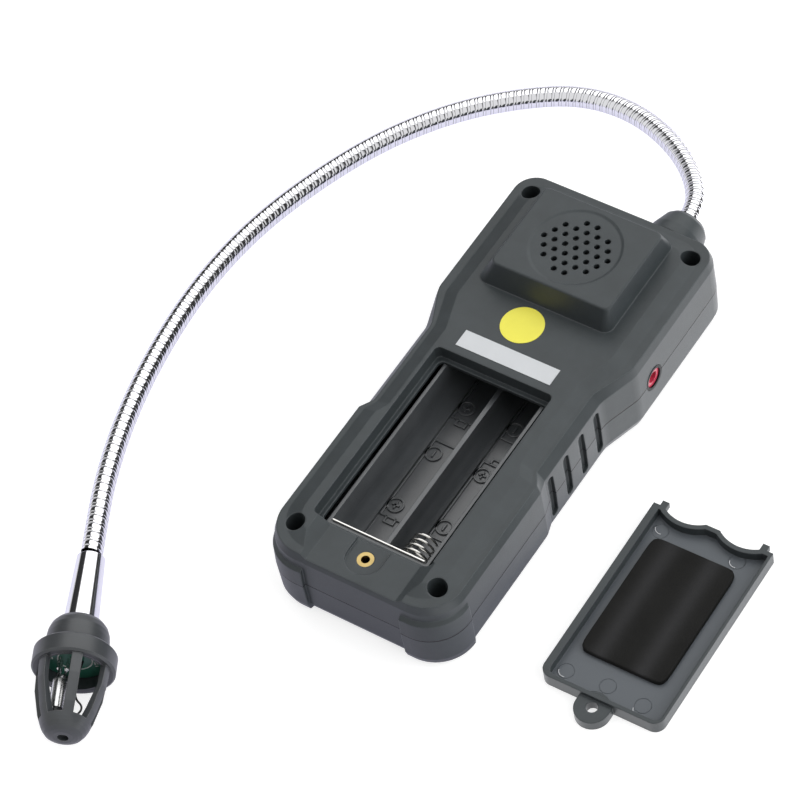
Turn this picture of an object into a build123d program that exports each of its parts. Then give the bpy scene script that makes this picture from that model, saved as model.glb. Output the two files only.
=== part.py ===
from build123d import *
import math
import os

# A handheld combustible gas detector lying on its front, with its back up.
# Millimetres. The rest face is z = 0, +Y points at the gooseneck end of the housing.

# Housing heights
back_z = 27.0
parting_z = 13.0
band_drop = 1.2
bevel_height = 2.8
wall = 2.2
front_wall = 2.0
roof = 3.0
bottom_round = 3.4

# Housing plan
wide_half = 33.2
grip_half = 29.2
butt_half = 30.4
far_y = 72.3
near_y = -73.6
shoulder_top_y = 23.0
shoulder_low_y = 11.0
waist_y = -19.0
waist_run = 4.0
far_radius = 8.0
near_radius = 12.0
shoulder_radius = 7.0
ridge_inset = 1.2
grip_slope = 1.3
draft_inset = 0.3

# Raised middle of the back face
pad_wide_half = 29.4
pad_grip_half = 25.6
pad_butt_half = 27.6
pad_far_y = 69.3
pad_near_y = -70.0
pad_slope = 4.0
pad_low_radii = (8.0, 11.0, 7.0)
pad_top_radii = (5.0, 8.0, 7.0)

# Lowered strip between the bay and the butt, where the cover's ear lies
strip_half = 14.6
strip_top_half = 18.6
strip_drop = 2.3
strip_thick = 2.4

# Corner bumpers on the butt
bumper_proud = 1.2
bumper_inner_x = 16.0
bumper_top_drop = 2.6
bumper_soft = 1.2

# Grip grooves
groove_count = 4
groove_pitch = 8.1
groove_top_y = 7.6
groove_width = 3.0
groove_depth = 1.4
groove_length = 17.0
groove_top_z = 21.5

# Speaker platform
platform_height = 8.4
platform_x = 0.4
platform_half = 19.3
platform_near_y = 31.8
platform_far_y = 62.4
platform_left_run = 4.3
platform_right_run = 0.8
platform_near_run = 2.1
platform_far_run = 4.2
platform_radius = 1.8
platform_edge = 0.5
platform_wall = 1.8

# Grille
grille_y = 47.1
hole_radius = 0.9
hole_pitch = 3.5
hole_rows = (2, 5, 6, 7, 6, 5, 2)
ring_radius = 13.75
dish_slope = 0.8
dish_depth = 0.3

# Screws and their wells
well_radius = 2.8
well_depth = 11.0
well_far = (26.6, 64.6)
well_near = (23.1, -64.3)
boss_wall = 1.3
screw_head_radius = 2.5
screw_head_height = 1.8
screw_radius = 1.25
screw_length = 9.0
screw_fit = 0.15
boss_floor = 2.0

# Battery bay and cover
bay_x = -1.4
bay_width = 38.4
bay_near_y = -59.6
bay_far_y = 4.5
bay_radius = 1.6
cover_depth = 4.4
ledge_width = 1.4
ledge_thick = 1.2
skirt_wall = 1.4
insert_xy = (-0.4, -64.5)
insert_radius = 2.45
insert_bore = 1.25
insert_length = 5.0
ear_pocket_radius = 5.6
ear_thick = 3.2

# Cells and their tray
cell_radius = 7.25
cell_fit = 0.15
cell_spacing = 16.2
cell_axis_depth = 12.4
cell_length = 50.5
tray_wall = 1.0
tray_floor = 1.2
tray_gap = 0.2
contact_room = 4.2
trough_flat = 8.0
rail_depth = 5.1
divider_depth = 10.2

# Contacts
contact_thick = 0.4
contact_width = 30.0
contact_height = 11.0
contact_top_depth = 4.4
far_plate_half = 5.2
spring_wire = 0.35
spring_turns = 5
spring_length = 9.6
spring_base_radius = 4.0
spring_tip_radius = 3.3

# Speaker
speaker_fit = 0.3
speaker_depth = 5.4
speaker_lip = 1.2
magnet_radius = 7.0
magnet_height = 2.2
cone_thick = 0.4

# Board, buttons and window on the front
board_low_z = 4.0
board_thick = 1.6
board_half = 25.0
board_near_y = -56.0
board_far_y = 58.0
button_radius = 4.6
button_flange = 5.8
button_clear = 0.2
button_recess = 0.4
button_flange_thick = 1.1
button_y = (6.0, -12.0, -30.0)
window_half = 16.0
window_near_y = 24.0
window_far_y = 52.0
window_step = 1.5
window_thick = 1.2
led_count = 8
led_radius = 1.0
led_height = 0.7

# Earphone jack
jack_y = 31.4
jack_ring_radius = 4.0
jack_barrel_radius = 3.1
jack_bore = 1.8
jack_depth = 11.0
jack_body = (9.0, 9.0, 8.0)

# Gooseneck
neck_radius = 3.2
collar_x = 14.8
collar_z = 15.5
collar_base_radius = 8.6
collar_tip_radius = 6.2
collar_length = 9.6
collar_flange_radius = 9.6
collar_flange_thick = 1.6
neck_fit = 0.1
neck_route = [
    (14.8, 74.0, 15.5),
    (14.8, 87.5, 15.4),
    (6.8, 99.8, 13.2),
    (-6.6, 110.2, 10.8),
    (-24.0, 116.8, 9.0),
    (-41.8, 116.0, 8.2),
    (-57.8, 106.9, 8.0),
    (-73.0, 93.2, 8.1),
    (-86.2, 74.6, 8.0),
    (-95.6, 52.6, 8.1),
    (-102.6, 27.6, 8.0),
    (-104.2, 2.6, 8.4),
    (-101.6, -22.2, 9.0),
    (-96.2, -46.2, 9.8),
    (-88.0, -68.6, 10.8),
]
arc_share = 0.45

# Sensor head
head_front = (-57.2, -127.2)
head_turn = 27.9
head_z = 11.75
flange_radius = 11.65
flange_length = 6.1
dome_radius = 8.75
dome_length = 9.6
ferrule_length = 21.5
ferrule_small = 4.0
ferrule_large = 4.9
nose_length = 21.0
nose_radius = 6.65
cage_root_radius = 10.5
cage_wall = 1.6
rib_count = 6
rib_width = 2.9
rib_phase = 12.0
nose_cap_length = 4.4
nose_hole_radius = 1.6
disc_depth = 4.0
disc_thick = 1.2
disc_radius = 9.3
socket_radius = 4.95
socket_wall = 0.35
socket_height = 0.2
can_radius = 2.25
can_length = 8.6
can_shift = (-3.0, 0.3)
can_start = 4.2
foot_thick = 0.8
lead_radius = 0.3
lead_ring = 1.2
lead_count = 3

# Cover lying beside the housing, inner side up
cover_xy = (70.3, -31.7)
cover_turn = 0.6
cover_width = 37.6
cover_length = 62.8
cover_skin = 1.5
cover_rim_left = 2.2
cover_rim_right = 0.9
cover_rim_near = 1.2
cover_rim_far = 1.4
cover_height = 4.4
cover_corner = 3.2
ear_radius = 5.1
ear_hole_radius = 1.7
ear_offset = -0.7
ear_reach = 2.3
scallop_middle = 5.4
scallop_shift = 2.2
scallop_dip = 2.3
hook_size = 2.0
hook_reach = 1.7
pad_foam_width = 25.5
pad_foam_length = 40.3
pad_foam_thick = 1.7
pad_foam_shift = (-0.6, 1.4)
pad_foam_radius = 2.5

# Sticker and label on the back
sticker_xy = (-2.9, 21.6)
sticker_radius = 6.4
label_xy = (-0.6, 10.0)
label_size = (31.0, 5.8)
film = 0.15

# Running gap between pieces that sit in each other, and the overrun of a cutting tool
seat = 0.05
cut = 1.0

# The speaker just fits between the near and far walls of the platform
speaker_radius = grille_y - platform_near_y - platform_wall - speaker_fit


def plan(wide, grip, butt, far, near, radii):
    """Plan of the housing: a wide end, shoulders, a narrower grip and the butt."""
    right = [
        (wide, far),
        (wide, shoulder_top_y),
        (grip, shoulder_low_y),
        (grip, waist_y),
        (butt, waist_y - waist_run),
        (butt, near),
    ]
    left = [(-x, y) for x, y in reversed(right)]
    face = make_face(Polyline(*right, *left, close=True))
    far_radius_here, near_radius_here, side_radius = radii
    groups = (
        (lambda y: y > far - 1, far_radius_here),
        (lambda y: y < near + 1, near_radius_here),
        (lambda y: shoulder_low_y - 1 < y < shoulder_top_y + 1, side_radius),
    )
    for wanted, radius in groups:
        corners = [v for v in face.vertices() if wanted(v.Y)]
        face = fillet(corners, radius)
    return face


def outline(inset, slope=0.0):
    """Plan of the wall, moved in by an inset; the grip moves in by the slope as well."""
    return plan(
        wide_half - inset,
        grip_half - inset - slope,
        butt_half - inset,
        far_y - inset,
        near_y + inset,
        (far_radius - inset, near_radius - inset, shoulder_radius),
    )


def through(levels):
    """Ruled solid through plans at several heights; each level is a height, an inset and a slope."""
    return loft([Pos(0, 0, z) * outline(inset, slope) for z, inset, slope in levels], ruled=True)


def block(x0, x1, y0, y1, z0, z1):
    """Box between two corners."""
    return Pos((x0 + x1) / 2, (y0 + y1) / 2, (z0 + z1) / 2) * Box(x1 - x0, y1 - y0, z1 - z0)


def rod(radius, x, y, z0, z1):
    """Upright cylinder between two heights."""
    return Pos(x, y, (z0 + z1) / 2) * Cylinder(radius, z1 - z0)


def slab(width, length, radius, x, y, z0, z1):
    """Upright block with rounded corners."""
    return Pos(x, y, z0) * extrude(RectangleRounded(width, length, radius), amount=z1 - z0)


def turned(points):
    """Solid of revolution about Z from (radius, height) points."""
    return revolve(make_face(Plane.XZ * Polyline(*points, close=True)), Axis.Z)


def wells():
    """Places of the four screws."""
    return [(side * x, y) for x, y in (well_far, well_near) for side in (-1, 1)]


def grooves():
    """Slots across both shells on each side of the grip."""
    slots = []
    mid_z = groove_top_z - groove_length / 2
    for side in (-1, 1):
        for index in range(groove_count):
            y = groove_top_y - index * groove_pitch
            slot = Pos(0, y, mid_z) * extrude(
                Plane.YZ * SlotOverall(groove_length, groove_width, rotation=90), amount=4, both=True
            )
            slots.append(Pos(side * (grip_half - groove_depth + 4), 0, 0) * slot)
    return slots


def bumpers(levels):
    """Rounded corner pads on the butt; each level is a height and how far it stands proud."""
    layers = [
        Pos(0, 0, z) * plan(
            wide_half, grip_half, butt_half + proud / 3, far_y, near_y - proud,
            (far_radius, near_radius, shoulder_radius),
        )
        for z, proud in levels
    ]
    inner = near_y + near_radius
    side_x = butt_half + bumper_proud
    low, high = levels[0][0], levels[-1][0]
    right = block(bumper_inner_x, side_x, near_y - bumper_proud, inner, low, high)
    left = block(-side_x, -bumper_inner_x, near_y - bumper_proud, inner, low, high)
    return loft(layers, ruled=True) & (left + right)


def jack_hole():
    """Hole in the side wall for the ring of the earphone jack."""
    length = wall + 4
    return Pos(wide_half, jack_y, parting_z) * Rot(0, 90, 0) * Cylinder(jack_ring_radius + seat, 2 * length)


def collar_hole():
    """Hole in the far wall for the collar of the gooseneck."""
    hole = Rot(90, 0, 0) * Cylinder(collar_base_radius - 1.4 + seat, 4 * wall)
    slot = Rot(90, 0, 0) * Cylinder(collar_flange_radius + seat, collar_flange_thick + 2 * seat)
    far = Pos(collar_x, far_y - wall / 2, collar_z) * hole
    inner = Pos(collar_x, far_y - wall - collar_flange_thick / 2, collar_z) * slot
    return far + inner


def platform(shrink, base_z, top_z):
    """Frustum of the speaker platform with uneven slopes."""
    height = platform_height
    share = (top_z - base_z) / height
    top = Pos(platform_x, (platform_near_y + platform_far_y) / 2, top_z) * RectangleRounded(
        2 * (platform_half - shrink),
        platform_far_y - platform_near_y - 2 * shrink,
        platform_radius,
    )
    left = platform_x - platform_half - platform_left_run * share + shrink
    right = platform_x + platform_half + platform_right_run * share - shrink
    near = platform_near_y - platform_near_run * share + shrink
    far = platform_far_y + platform_far_run * share - shrink
    base = Pos((left + right) / 2, (near + far) / 2, base_z) * RectangleRounded(
        right - left, far - near, platform_radius + 1
    )
    return loft([base, top])


def grille_points():
    """Centres of the sound holes: rows of hexagonal packing."""
    points = []
    step = hole_pitch * math.sqrt(3) / 2
    for row, count in enumerate(hole_rows):
        y = grille_y + (row - (len(hole_rows) - 1) / 2) * step
        points += [((i - (count - 1) / 2) * hole_pitch, y) for i in range(count)]
    return points


def back_shell():
    """Upper casing, which is the back of the detector."""
    band_z = back_z - band_drop
    body = through([
        (parting_z, 0, 0),
        (band_z - bevel_height, draft_inset, 0),
        (band_z, ridge_inset, grip_slope),
    ])
    lower = plan(
        pad_wide_half, pad_grip_half, pad_butt_half, pad_far_y, pad_near_y, pad_low_radii
    )
    upper = plan(
        pad_wide_half - pad_slope,
        pad_grip_half - pad_slope,
        pad_butt_half - pad_slope,
        pad_far_y - pad_slope,
        pad_near_y + pad_slope,
        pad_top_radii,
    )
    body += loft([Pos(0, 0, band_z) * lower, Pos(0, 0, back_z) * upper], ruled=True)
    bumper_top = band_z - bevel_height - bumper_top_drop
    body += bumpers([
        (parting_z, bumper_proud),
        (bumper_top - bumper_soft, bumper_proud - draft_inset),
        (bumper_top, -draft_inset),
    ])
    raised = platform(0, back_z, back_z + platform_height)
    top_edges = raised.faces().sort_by(Axis.Z)[-1].edges()
    body += fillet(top_edges, platform_edge)
    body -= through([
        (parting_z - cut, wall, 0),
        (back_z - roof, wall + ridge_inset, grip_slope),
    ])
    body -= platform(platform_wall, back_z - roof - cut, back_z + platform_height - platform_wall)
    for x, y in wells():
        body += rod(well_radius + boss_wall, x, y, parting_z + seat, back_z - roof + cut)
    body -= grooves()
    body -= jack_hole()
    body -= collar_hole()
    for x, y in wells():
        body -= rod(well_radius, x, y, back_z - well_depth, back_z + cut)
        body -= rod(screw_radius + screw_fit, x, y, parting_z - cut, back_z)
    body += strip_backing()
    body -= strip_cut()
    body += bay_skirt()
    body -= bay_cuts()
    for x, y in grille_points():
        body -= rod(hole_radius, x, y, back_z, back_z + platform_height + cut)
    roof_z = back_z + platform_height
    dish = turned([
        (0, roof_z - dish_depth),
        (ring_radius - dish_slope, roof_z - dish_depth),
        (ring_radius + dish_slope, roof_z + dish_depth),
        (0, roof_z + dish_depth),
    ])
    return body - Pos(0, grille_y, 0) * dish


def strip_cut():
    """Space above the lowered strip, with sloping sides."""
    floor_z = back_z - strip_drop
    side = make_face(Plane.XZ * Polyline(
        (-strip_half, floor_z),
        (strip_half, floor_z),
        (strip_top_half, back_z),
        (strip_top_half, back_z + cut),
        (-strip_top_half, back_z + cut),
        (-strip_top_half, back_z),
        close=True,
    ))
    far = bay_near_y + ledge_width
    return Pos(0, far, 0) * extrude(side, amount=far - near_y + 5, dir=(0, -1, 0))


def strip_backing():
    """Wall under the lowered strip."""
    top = back_z - strip_drop
    return block(
        -strip_top_half, strip_top_half, near_y + wall + ridge_inset, bay_near_y,
        top - strip_thick, top,
    )


def bay_middle():
    """Centre and length of the battery bay."""
    return (bay_near_y + bay_far_y) / 2, bay_far_y - bay_near_y


def bay_skirt():
    """Frame below the bay's rim and the boss of the cover's threaded insert."""
    mid, length = bay_middle()
    low = back_z - cover_depth - ledge_thick
    high = back_z - roof
    frame = slab(
        bay_width + 2 * skirt_wall, length + 2 * skirt_wall, bay_radius, bay_x, mid, low, high
    )
    x, y = insert_xy
    boss_low = back_z - ear_thick - insert_length - boss_floor
    return frame + rod(insert_radius + 2 * boss_wall, x, y, boss_low, back_z - strip_drop)


def bay_cuts():
    """Opening of the bay, its ledge, the pocket of the cover's ear and the insert's hole."""
    mid, length = bay_middle()
    top = back_z + cut
    seat_cut = slab(bay_width, length, bay_radius, bay_x, mid, back_z - cover_depth, top)
    inner = slab(
        bay_width - 2 * ledge_width, length - 2 * ledge_width, bay_radius, bay_x, mid, parting_z, top
    )
    x, y = insert_xy
    pocket = rod(ear_pocket_radius, x, y, back_z - ear_thick, top)
    pocket += block(x - ear_pocket_radius, x + ear_pocket_radius, y, bay_near_y + cut, back_z - ear_thick, top)
    hole = rod(insert_radius, x, y, back_z - ear_thick - insert_length, top)
    return seat_cut + inner + pocket + hole


def front_shell():
    """Lower casing, which is the front with its buttons and window."""
    body = through([
        (0, bottom_round, 0),
        (bottom_round * 0.3, bottom_round * 0.3, 0),
        (bottom_round, 0.1, 0),
        (parting_z - seat, 0, 0),
    ])
    body += bumpers([
        (0, bumper_proud - bottom_round),
        (bottom_round * 0.3, bumper_proud - bottom_round * 0.3),
        (bottom_round, bumper_proud - draft_inset),
        (parting_z - seat, bumper_proud),
    ])
    body -= through([
        (front_wall, wall + bottom_round * 0.6, 0),
        (bottom_round, wall, 0),
        (parting_z + cut, wall, 0),
    ])
    for x, y in wells():
        body += rod(well_radius + boss_wall - 0.4, x, y, front_wall - seat, parting_z - seat)
    body -= grooves()
    body -= jack_hole()
    body -= collar_hole()
    for x, y in wells():
        body -= rod(screw_radius, x, y, front_wall + cut, parting_z + cut)
    for y in button_y:
        body -= rod(button_radius + button_clear, 0, y, -cut, front_wall + cut)
    mid = (window_near_y + window_far_y) / 2
    span = window_far_y - window_near_y
    body -= slab(2 * window_half, span, 2, 0, mid, -cut, window_thick)
    body -= slab(2 * (window_half - window_step), span - 2 * window_step, 2, 0, mid, -cut, front_wall + cut)
    return body + board_posts()


def board_posts():
    """Posts that carry the main board."""
    posts = [
        rod(1.8, side * (board_half - 3), y, front_wall - seat, board_low_z)
        for side in (-1, 1)
        for y in (board_near_y + 4, board_far_y - 4)
    ]
    return posts[0] + posts[1] + posts[2] + posts[3]


def tray_ends():
    """Near and far ends of the tray: two cells in line and a contact at each end."""
    near = bay_near_y + ledge_width + tray_gap
    return near, near + 2 * contact_room + 2 * cell_length


def trough_space(y0, y1, shrink):
    """Room of both troughs: round sides, a flat floor strip and an open top."""
    axis_z = back_z - cell_axis_depth
    radius = cell_radius + cell_fit - shrink
    flat = trough_flat / 2 - shrink
    rooms = []
    for side in (-1, 1):
        x = bay_x + side * cell_spacing / 2
        round_part = Pos(x, (y0 + y1) / 2, axis_z) * Rot(90, 0, 0) * Cylinder(radius, y1 - y0)
        open_part = block(x - radius, x + radius, y0, y1, axis_z, back_z)
        strip = block(x - flat, x + flat, y0, y1, axis_z - radius, axis_z)
        rooms.append(round_part + open_part + strip)
    half = cell_spacing / 2
    over = block(bay_x - half, bay_x + half, y0, y1, back_z - divider_depth + shrink, back_z)
    return rooms[0] + rooms[1] + over


def battery_tray():
    """Moulded cradle with two troughs for the cells, which run on under the platform."""
    near, far = tray_ends()
    trough = cell_radius + cell_fit
    half = cell_spacing / 2 + trough + tray_wall
    low = back_z - cell_axis_depth - trough - tray_floor
    body = block(bay_x - half, bay_x + half, near, far, low, back_z - rail_depth)
    body -= trough_space(near + tray_wall, far - tray_wall, 0)
    tunnel_top = back_z - cover_depth - ledge_thick - tray_gap
    return body - block(
        bay_x - half - cut, bay_x + half + cut, bay_far_y - ledge_width - tray_gap, far + cut,
        tunnel_top, back_z,
    )


def contact_z():
    """Low and high edges of the contact plates."""
    mid = back_z - cell_axis_depth
    return mid - contact_height / 2, mid + contact_height / 2


def series_contact():
    """Plate that links the two cells at the near end."""
    near, far = tray_ends()
    low = contact_z()[0]
    high = back_z - contact_top_depth
    y = near + tray_wall + seat
    half = contact_width / 2
    plate = block(bay_x - half, bay_x + half, y, y + contact_thick, low, high)
    return plate & trough_space(y - cut, y + cut, seat)


def far_contacts():
    """Separate plates at the far end of each trough."""
    near, far = tray_ends()
    low, high = contact_z()
    y = far - tray_wall - seat
    plates = []
    for side in (-1, 1):
        x = bay_x + side * cell_spacing / 2
        plate = block(x - far_plate_half, x + far_plate_half, y - contact_thick, y, low, high)
        plates.append(plate & trough_space(y - cut, y + cut, seat))
    return plates


def spring(x, y, direction):
    """Conical contact spring lying along Y."""
    pitch = spring_length / spring_turns
    lean = math.degrees(math.atan((spring_base_radius - spring_tip_radius) / spring_length))
    path = Helix(pitch, spring_length, spring_base_radius, cone_angle=-lean)
    wire = Plane(origin=path @ 0, z_dir=path % 0) * Circle(spring_wire)
    coil = sweep(wire, path=path, is_frenet=True)
    turn = Rot(-90, 0, 0) if direction > 0 else Rot(90, 0, 0)
    start = y + direction * (spring_wire + seat)
    return Pos(x, start, back_z - cell_axis_depth) * turn * coil


def battery_spring():
    """Spring of the near end, in the right trough."""
    near, far = tray_ends()
    return spring(bay_x + cell_spacing / 2, near + tray_wall + seat + contact_thick, 1)


def far_contact_spring():
    """Spring of the far end, in the left trough."""
    near, far = tray_ends()
    return spring(bay_x - cell_spacing / 2, far - tray_wall - seat - contact_thick, -1)


def brass_insert():
    """Threaded insert that takes the cover's screw."""
    x, y = insert_xy
    top = back_z - ear_thick
    return rod(insert_radius, x, y, top - insert_length, top) - rod(
        insert_bore, x, y, top - insert_length - cut, top + cut
    )


def housing_screws():
    """Four pan-head screws at the bottom of the wells."""
    screws = []
    seat_z = back_z - well_depth
    for x, y in wells():
        head = rod(screw_head_radius, x, y, seat_z, seat_z + screw_head_height)
        shank = rod(screw_radius, x, y, seat_z - screw_length, seat_z)
        slot = block(x - 1.6, x + 1.6, y - 0.3, y + 0.3, seat_z + 0.8, seat_z + screw_head_height + cut)
        cross = block(x - 0.3, x + 0.3, y - 1.6, y + 1.6, seat_z + 0.8, seat_z + screw_head_height + cut)
        screws.append(head + shank - slot - cross)
    return Compound(children=screws)


def speaker_top():
    """Underside of the platform's roof, where the speaker seats."""
    return back_z + platform_height - platform_wall - seat


def speaker_frame():
    """Basket of the speaker."""
    top = speaker_top()
    low = top - speaker_depth
    inner = speaker_radius - speaker_lip
    basket = turned([
        (speaker_radius, top),
        (speaker_radius, top - 1.4),
        (magnet_radius + 1.5, low),
        (magnet_radius - 2, low),
        (magnet_radius - 2, low + 0.8),
        (magnet_radius + 1.2, low + 0.8),
        (inner, top - 1.0),
        (inner, top),
    ])
    return Pos(0, grille_y, 0) * basket


def speaker_cone():
    """Diaphragm with a domed middle."""
    top = speaker_top()
    inner = speaker_radius - speaker_lip - seat
    low = top - speaker_depth + 2.2
    cone = turned([
        (inner, top - 0.6),
        (inner, top - 0.6 - cone_thick),
        (4.0, low - cone_thick),
        (0, low + 0.6 - cone_thick),
        (0, low + 0.6),
        (4.0, low),
    ])
    return Pos(0, grille_y, 0) * cone


def speaker_magnet():
    """Magnet on the back of the basket."""
    low = speaker_top() - speaker_depth
    return rod(magnet_radius, 0, grille_y, low - magnet_height, low)


def main_board():
    """Circuit board over the front wall."""
    y = (board_near_y + board_far_y) / 2
    top = board_low_z + board_thick
    return slab(2 * board_half, board_far_y - board_near_y, 2, 0, y, board_low_z, top)


def led_window():
    """Clear window in the front, stepped so that it can't fall out."""
    mid = (window_near_y + window_far_y) / 2
    span = window_far_y - window_near_y
    gap = 2 * seat
    outer = slab(2 * window_half - gap, span - gap, 2, 0, mid, button_recess, window_thick)
    inner = slab(
        2 * (window_half - window_step) - gap, span - 2 * window_step - gap, 2, 0, mid,
        window_thick, front_wall,
    )
    return outer + inner


def indicator_leds():
    """Row of level lamps under the board, behind the window."""
    lamps = []
    span = window_far_y - window_near_y - 8
    for index in range(led_count):
        y = window_near_y + 4 + span * index / (led_count - 1)
        lamps.append(rod(led_radius, 0, y, board_low_z - led_height, board_low_z))
    return Compound(children=lamps)


def button(y):
    """Domed push button with a flange behind the front wall."""
    cap = rod(button_radius, 0, y, button_recess, front_wall + 2 * seat)
    cap = chamfer(cap.faces().sort_by(Axis.Z)[0].edges(), 0.3)
    top = front_wall + 2 * seat + button_flange_thick
    return cap + rod(button_flange, 0, y, front_wall + 2 * seat, top)


def earphone_jack():
    """Socket barrel with its bore and the body behind it."""
    length, width, height = jack_body
    face = wide_half - 0.5
    barrel = Pos(face - jack_depth / 2, jack_y, parting_z) * Rot(0, 90, 0) * Cylinder(
        jack_barrel_radius, jack_depth
    )
    back = wide_half - wall - 1.2
    body = block(
        back - length, back, jack_y - width / 2, jack_y + width / 2,
        parting_z - height / 2, parting_z + height / 2,
    )
    bore = Pos(face - jack_depth / 2 + 0.5, jack_y, parting_z) * Rot(0, 90, 0) * Cylinder(jack_bore, jack_depth + 1)
    return body + barrel - bore


def jack_ring():
    """Black ring around the socket, flush with the side wall."""
    length = wall + 1.1
    ring = Cylinder(jack_ring_radius, length) - Cylinder(jack_barrel_radius + seat, length + cut)
    return Pos(wide_half - length / 2, jack_y, parting_z) * Rot(0, 90, 0) * ring


def neck_collar():
    """Domed bushing that holds the gooseneck in the far wall."""
    neck = collar_base_radius - 1.4
    back = -wall - collar_flange_thick
    profile = turned([
        (neck_radius + neck_fit, back),
        (collar_flange_radius, back),
        (collar_flange_radius, -wall),
        (neck, -wall),
        (neck, 0.05),
        (collar_base_radius, 0.05),
        (collar_base_radius - 0.3, collar_length * 0.35),
        (collar_tip_radius + 0.7, collar_length * 0.85),
        (collar_tip_radius - 0.4, collar_length),
        (neck_radius + neck_fit, collar_length),
    ])
    return Pos(collar_x, far_y, collar_z) * Rot(-90, 0, 0) * profile


def head_place():
    """Location of the sensor head: its axis is local Z, toward the nose, from the flange's front."""
    return Pos(head_front[0], head_front[1], head_z) * Rot(0, 0, head_turn) * Rot(90, 0, 0)


def head_point(distance):
    """Point on the head's axis, a distance in front of the flange."""
    place = head_place() * Pos(0, 0, distance)
    return tuple(place.position)


def neck_points():
    """Route of the gooseneck from the collar to the ferrule."""
    tail = -flange_length - dome_length - ferrule_length
    return neck_route + [head_point(tail - 9.0), head_point(tail + 4.0)]


def neck_radii(points):
    """Arc at each corner: a share of the shorter run over the tangent of half the turn."""
    radii = []
    for before, here, after in zip(points, points[1:], points[2:]):
        run_in = Vector(*here) - Vector(*before)
        run_out = Vector(*after) - Vector(*here)
        half_turn = math.radians(run_in.get_angle(run_out)) / 2
        radii.append(arc_share * min(run_in.length, run_out.length) / math.tan(half_turn))
    return radii


def gooseneck():
    """Flexible metal neck: straight runs joined by tangent arcs."""
    points = neck_points()
    radii = neck_radii(points)
    path = FilletPolyline(*points, radius=radii)
    section = Plane(origin=path @ 0, z_dir=path % 0) * Circle(neck_radius)
    tube = sweep(section, path=path)
    print("gooseneck radii", [round(r, 1) for r in radii])
    print("gooseneck volume", round(tube.volume, 1), "section by length",
          round(math.pi * neck_radius**2 * path.length, 1))
    return tube


def neck_ferrule():
    """Tapered chrome sleeve between the gooseneck and the head."""
    tail = -flange_length - dome_length - ferrule_length
    end = tail + ferrule_length + 3.0
    bore = neck_radius + neck_fit
    slope = (ferrule_large - ferrule_small) / ferrule_length
    tip = ferrule_small + slope * (end - tail)
    sleeve = turned([(bore, tail), (ferrule_small, tail), (tip, end), (bore, end)])
    return head_place() * sleeve


def head_cap():
    """Dome at the back of the head."""
    back = -flange_length - dome_length
    join = -flange_length
    slope = (ferrule_large - ferrule_small) / ferrule_length
    hole = ferrule_large + slope * 3 + neck_fit
    points = [
        (hole, back),
        (dome_radius - 3.0, back),
        (dome_radius - 1.8, back + 0.8),
        (dome_radius - 0.8, back + 2.1),
        (dome_radius - 0.2, back + 3.8),
        (dome_radius, back + 5.6),
        (dome_radius, join - seat),
        (dome_radius - cage_wall, join - seat),
        (dome_radius - cage_wall, back + 3.6),
        (hole, back + 3.4),
    ]
    return head_place() * turned(points)


def head_cage():
    """Flange and six ribs that run to a rounded nose."""
    back = -flange_length
    tip = nose_length
    cap = tip - nose_cap_length
    inner_root = cage_root_radius - cage_wall
    inner_nose = nose_radius - cage_wall
    body = turned([
        (disc_radius + 0.3, -disc_depth - disc_thick - seat),
        (dome_radius - 2.0, -disc_depth - disc_thick - seat),
        (dome_radius - 2.0, back),
        (flange_radius - 0.8, back),
        (flange_radius, back + 0.8),
        (flange_radius, -0.6),
        (flange_radius - 0.6, 0),
        (cage_root_radius, 0),
        (cage_root_radius - 0.4, tip * 0.28),
        (nose_radius + 1.5, tip * 0.66),
        (nose_radius, cap + 1.2),
        (nose_radius - 0.5, tip - 2.2),
        (nose_radius - 1.4, tip - 1.0),
        (nose_radius - 2.6, tip - 0.3),
        (nose_radius - 3.8, tip),
        (nose_hole_radius, tip),
        (nose_hole_radius, tip - 1.6),
        (0, tip - 1.6),
        (0, cap + 1.4),
        (inner_nose - 1.4, cap + 1.4),
        (inner_nose, cap),
        (inner_nose + 1.4, tip * 0.62),
        (inner_root - 0.2, tip * 0.28),
        (inner_root, 0),
        (disc_radius + 0.3, 0),
    ])
    for index in range(rib_count):
        start = rib_phase + index * 360 / rib_count
        body -= cage_window(start, cap)
    return head_place() * body


def cage_window(start, cap):
    """Gap between two neighbouring ribs, which narrows to the nose with parallel rib sides."""
    middle = math.radians(start + 180 / rib_count)
    first = math.radians(start)
    second = math.radians(start + 360 / rib_count)
    reach = 2 * flange_radius
    shift = rib_width / 2
    corner = shift / math.sin(math.pi / rib_count)
    tip = (corner * math.cos(middle), corner * math.sin(middle))
    a = (tip[0] + reach * math.cos(first), tip[1] + reach * math.sin(first))
    b = (tip[0] + reach * math.cos(second), tip[1] + reach * math.sin(second))
    wedge = make_face(Polyline(tip, a, b, close=True))
    return Pos(0, 0, 0.01) * extrude(wedge, amount=cap)


def sensor_board():
    """Round board behind the cage."""
    disc = Cylinder(disc_radius, disc_thick)
    return head_place() * Pos(0, 0, -disc_depth - disc_thick / 2) * disc


def sensor_socket():
    """Pale ring on the board round the sensor."""
    ring = Cylinder(socket_radius, socket_height)
    ring -= Cylinder(socket_radius - socket_wall, socket_height + cut)
    return head_place() * Pos(0, 0, -disc_depth + socket_height / 2) * ring


def sensor_base():
    """Foot of the sensor can on its leads, which stand on the board."""
    x, y = can_shift
    base = rod(can_radius, x, y, can_start - foot_thick, can_start)
    for index in range(lead_count):
        angle = 2 * math.pi * index / lead_count
        lead_x = x + lead_ring * math.cos(angle)
        lead_y = y + lead_ring * math.sin(angle)
        base += rod(lead_radius, lead_x, lead_y, -disc_depth, can_start - foot_thick / 2)
    return head_place() * base


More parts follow.
